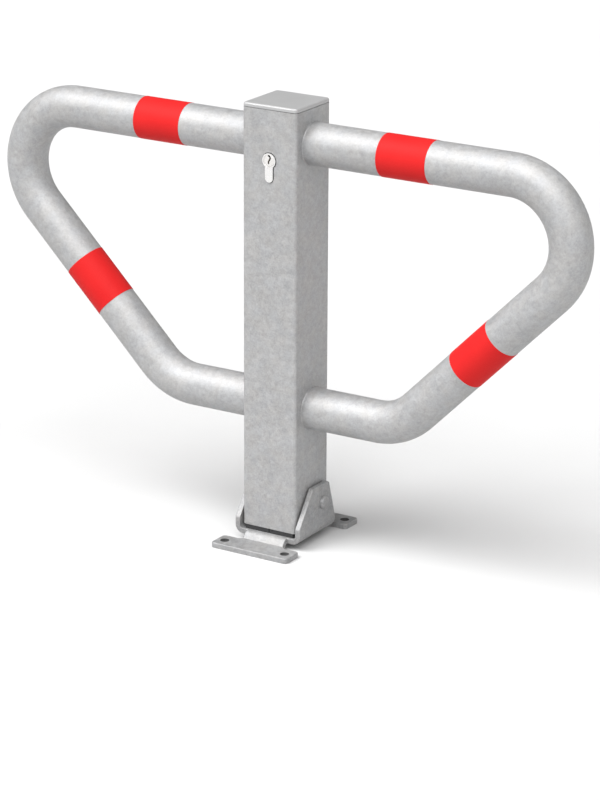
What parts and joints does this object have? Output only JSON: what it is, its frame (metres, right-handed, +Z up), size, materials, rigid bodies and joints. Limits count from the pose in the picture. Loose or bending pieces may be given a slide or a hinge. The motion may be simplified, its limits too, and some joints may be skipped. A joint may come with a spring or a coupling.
{
  "type": "folding parking lock",
  "caption": "Lockable fold-down parking post with two bent tube wings, hinged on a bolted base bracket, with a profile cylinder.",
  "frame": {"origin": "on the ground at the centre of the base's four-bolt pattern, under the middle of the upright post", "axes": "+X along the right wing, +Y to the back, the way the post folds, +Z up; the lock cylinder faces -Y"},
  "size_m": [0.7558, 0.157, 0.5092],
  "materials": {
    "galvanised_plate": "hot-dip galvanised, satin with faint spangle",
    "galvanised_post": "hot-dip galvanised, satin with faint spangle",
    "galvanised_tube": "hot-dip galvanised, mottled satin",
    "weld_bead": "galvanised over the bead, slightly rippled",
    "zinc_pin": "galvanised, satin",
    "zinc_screw": "zinc plated",
    "cap_grey": "grey moulded plastic, fine texture",
    "red_film": "glossy reflective film",
    "nickel": "satin nickel plate",
    "nickel_plug": "satin nickel plate",
    "plain_steel": "plain machined steel",
    "rod_steel": "bright drawn bar",
    "brass": "turned",
    "spring_wire": "spring steel",
    "nylon": "black nylon",
    "rubber_pad": "black rubber"
  },
  "bodies": {
    "base": {"base_bracket": "galvanised_plate", "pivot_pin": "zinc_pin", "thrust_washers": "nylon", "stop_pads": "rubber_pad"},
    "post": {"post_tube": "galvanised_post", "top_cap": "cap_grey", "pivot_sleeve": "plain_steel", "upper_rod_guide": "plain_steel", "lower_rod_guide": "plain_steel", "cylinder_support": "plain_steel", "right_wing": "galvanised_tube", "left_wing": "galvanised_tube", "right_weld_beads": "weld_bead", "left_weld_beads": "weld_bead", "right_top_band": "red_film", "left_top_band": "red_film", "right_slant_band": "red_film", "left_slant_band": "red_film", "cylinder_housing": "nickel", "cylinder_screw": "zinc_screw", "driver_pins": "brass", "tumbler_springs": "spring_wire"},
    "plug": {"cylinder_plug": "nickel_plug", "key_pins": "brass", "cam": "plain_steel", "cam_circlip": "spring_wire"},
    "rod": {"lock_slide": "plain_steel", "slide_pin": "plain_steel", "locking_rod": "rod_steel"}
  },
  "joints": [
    {"name": "post_fold", "type": "hinge", "parent": "base", "child": "post", "pos_m": [0, 0.0123, 0.0445], "axis": [-1, 0, 0], "range_deg": [0, 90]},
    {"name": "key_turn", "type": "hinge", "parent": "post", "child": "plug", "pos_m": [0, -0.036, 0.4477], "axis": [0, 1, 0], "range_deg": [0, 90]},
    {"name": "rod_slide", "type": "slide", "parent": "post", "child": "rod", "axis": [0, 0, -1], "range_m": [0, 0.01556]}
  ],
  "couplings": [
    {"joint": "rod_slide", "follows": "key_turn", "m_per_rad": 0.009903}
  ]
}
